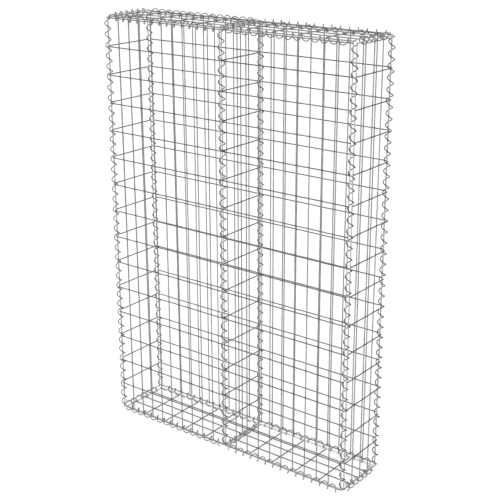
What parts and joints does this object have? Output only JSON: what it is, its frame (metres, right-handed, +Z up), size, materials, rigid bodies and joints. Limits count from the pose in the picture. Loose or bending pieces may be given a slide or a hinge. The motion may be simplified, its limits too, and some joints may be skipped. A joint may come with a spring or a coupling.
{
  "type": "gabion basket",
  "caption": "Empty gabion wall basket of galvanised welded mesh, split into bays by a divider and laced along its edges with wire spirals, to be filled with stone.",
  "frame": {"origin": "on the ground under the middle of the basket, level with the lowest spirals", "axes": "+X along the wall, -Y towards the front, +Z up"},
  "size_m": [1.0446, 0.237, 1.5343],
  "materials": {
    "mesh_wire": "galvanised, dull",
    "spiral_wire": "galvanised, dull"
  },
  "bodies": {
    "root": {"back_panel_left": "mesh_wire", "back_panel_right": "mesh_wire", "base_panel_left": "mesh_wire", "base_panel_right": "mesh_wire", "base_spiral_back_left": "spiral_wire", "base_spiral_back_right": "spiral_wire", "base_spiral_end_left": "spiral_wire", "base_spiral_end_right": "spiral_wire", "base_spiral_front_left": "spiral_wire", "base_spiral_front_right": "spiral_wire", "base_spiral_middle": "spiral_wire", "corner_spiral_back_left": "spiral_wire", "corner_spiral_back_right": "spiral_wire", "corner_spiral_front_left": "spiral_wire", "corner_spiral_front_right": "spiral_wire", "divider_panel": "mesh_wire", "end_panel_left": "mesh_wire", "end_panel_right": "mesh_wire", "front_panel_left": "mesh_wire", "front_panel_right": "mesh_wire", "lid_panel_left": "mesh_wire", "lid_panel_right": "mesh_wire", "lid_spiral_back_left": "spiral_wire", "lid_spiral_back_right": "spiral_wire", "lid_spiral_end_left": "spiral_wire", "lid_spiral_end_right": "spiral_wire", "lid_spiral_front_left": "spiral_wire", "lid_spiral_front_right": "spiral_wire", "lid_spiral_middle": "spiral_wire", "middle_spiral_back": "spiral_wire", "middle_spiral_front": "spiral_wire"}
  },
  "joints": []
}
